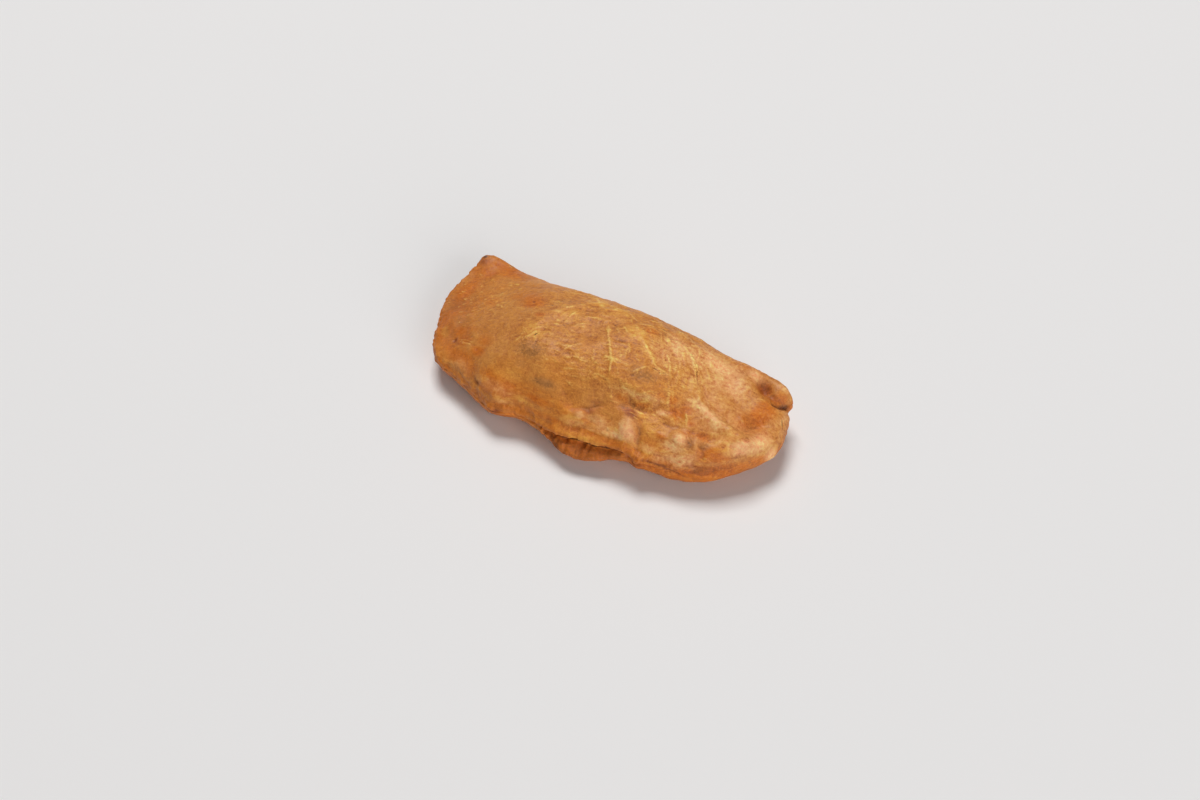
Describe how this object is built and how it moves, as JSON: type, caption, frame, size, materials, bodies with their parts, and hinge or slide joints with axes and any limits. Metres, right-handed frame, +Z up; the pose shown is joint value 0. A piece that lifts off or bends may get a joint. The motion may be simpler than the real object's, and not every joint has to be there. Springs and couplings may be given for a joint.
{
  "type": "fried savoury turnover",
  "caption": "Whole deep-fried pastry turnover with a savoury filling shut inside, pressed along its front edge and blistered on top.",
  "frame": {"origin": "on the surface the turnover lies on, under the middle of its box", "axes": "+X along the turnover towards its tucked end, +Y towards the fold at the back, +Z up"},
  "size_m": [0.1474, 0.0666, 0.0347],
  "materials": {
    "crust": "fried dough, golden brown with yellow creases, slightly oily"
  },
  "bodies": {
    "root": {"turnover": "crust"}
  },
  "joints": []
}
